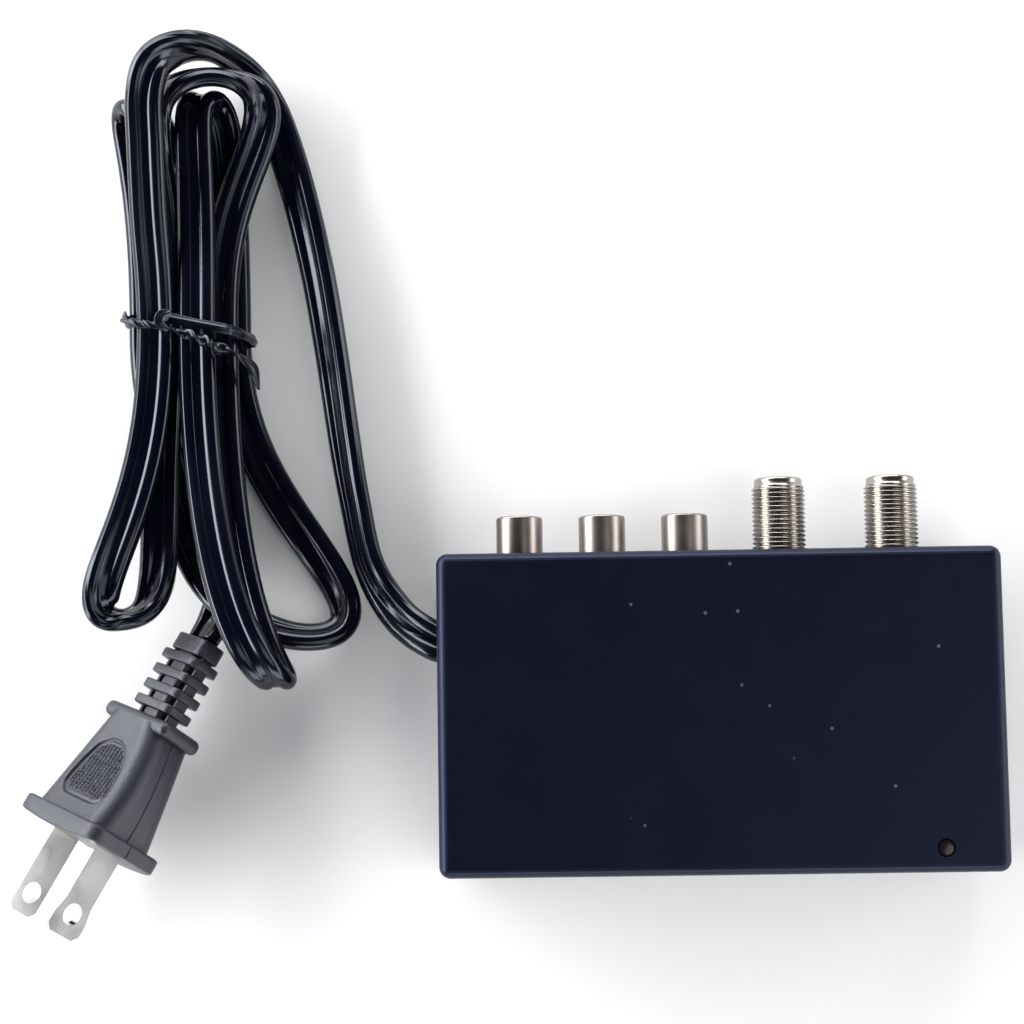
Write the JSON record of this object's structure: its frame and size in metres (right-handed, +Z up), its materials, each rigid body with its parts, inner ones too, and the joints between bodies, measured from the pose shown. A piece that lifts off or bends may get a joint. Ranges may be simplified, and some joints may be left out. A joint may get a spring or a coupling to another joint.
{
  "type": "rf modulator",
  "caption": "Flat black box that turns audio and video into an aerial signal, with phono and threaded sockets at the back and a tied mains cord with plug.",
  "frame": {"origin": "on the floor under the middle of the case taken together with its sockets", "axes": "+X from left to right, +Y out of the sockets, +Z up"},
  "size_m": [0.1752, 0.1644, 0.0264],
  "materials": {
    "case_plastic": "fine spark-eroded matte",
    "panel_plastic": "matte",
    "screw_steel": "zinc plated",
    "foot_rubber": "matte",
    "nickel": "bright nickel plate",
    "yellow_plastic": "satin",
    "white_plastic": "satin",
    "red_plastic": "satin",
    "contact_brass": "plated",
    "tinplate": "tinned sheet",
    "board": "solder mask",
    "natural_plastic": "matte",
    "copper": "enamelled wire",
    "ferrite": "matte",
    "black_plastic": "matte",
    "lamp_epoxy": "dark tinted, unlit",
    "core_steel": "lacquered plates",
    "winding_tape": "copper wire under tape",
    "capacitor_sleeve": "shrink sleeve",
    "resistor_paint": "lacquer",
    "fuse_glass": "clear",
    "cord_vinyl": "glossy vinyl",
    "tie_vinyl": "satin",
    "plug_vinyl": "textured matte"
  },
  "bodies": {
    "root": {"top_cover": "case_plastic", "bottom_cover": "case_plastic", "rear_panel": "panel_plastic", "rca_housing": "panel_plastic", "cord_clamp": "panel_plastic", "case_screws": "screw_steel", "feet": "foot_rubber", "rca_sleeves": "nickel", "aerial_bodies": "nickel", "plug_blades": "nickel", "rca_insulator_yellow": "yellow_plastic", "rca_insulator_white": "white_plastic", "aerial_insulators": "white_plastic", "rca_insulator_red": "red_plastic", "rca_contacts": "contact_brass", "aerial_contacts": "contact_brass", "fuse_clips": "contact_brass", "shield_can": "tinplate", "can_lid": "tinplate", "regulator_tab": "tinplate", "led_leads": "tinplate", "fuse_caps": "tinplate", "switch_frame": "tinplate", "circuit_board": "board", "inner_board": "board", "coil_former": "natural_plastic", "transformer_bobbin": "natural_plastic", "coil_winding": "copper", "regulator_body": "black_plastic", "chip": "black_plastic", "rectifier_diodes": "black_plastic", "led_lens": "lamp_epoxy", "transformer_core": "core_steel", "primary_winding": "winding_tape", "secondary_winding": "winding_tape", "capacitors": "capacitor_sleeve", "resistors": "resistor_paint", "fuse_glass": "fuse_glass", "inner_cord": "cord_vinyl", "conductors": "cord_vinyl", "cord_lead": "cord_vinyl", "cord_hank": "cord_vinyl", "cord_tail": "cord_vinyl", "twist_tie": "tie_vinyl", "plug_body": "plug_vinyl"},
    "slider": {"switch_slider": "black_plastic"},
    "core": {"tuning_core": "ferrite"}
  },
  "joints": [
    {"name": "channel_slide", "type": "slide", "parent": "root", "child": "slider", "axis": [1, 0, 0], "range_m": [0, 0.002]},
    {"name": "core_turn", "type": "hinge", "parent": "root", "child": "core", "pos_m": [0.01468, 0.0023, 0.0153], "axis": [0, 0, 1], "range_deg": [-180, 180]}
  ]
}
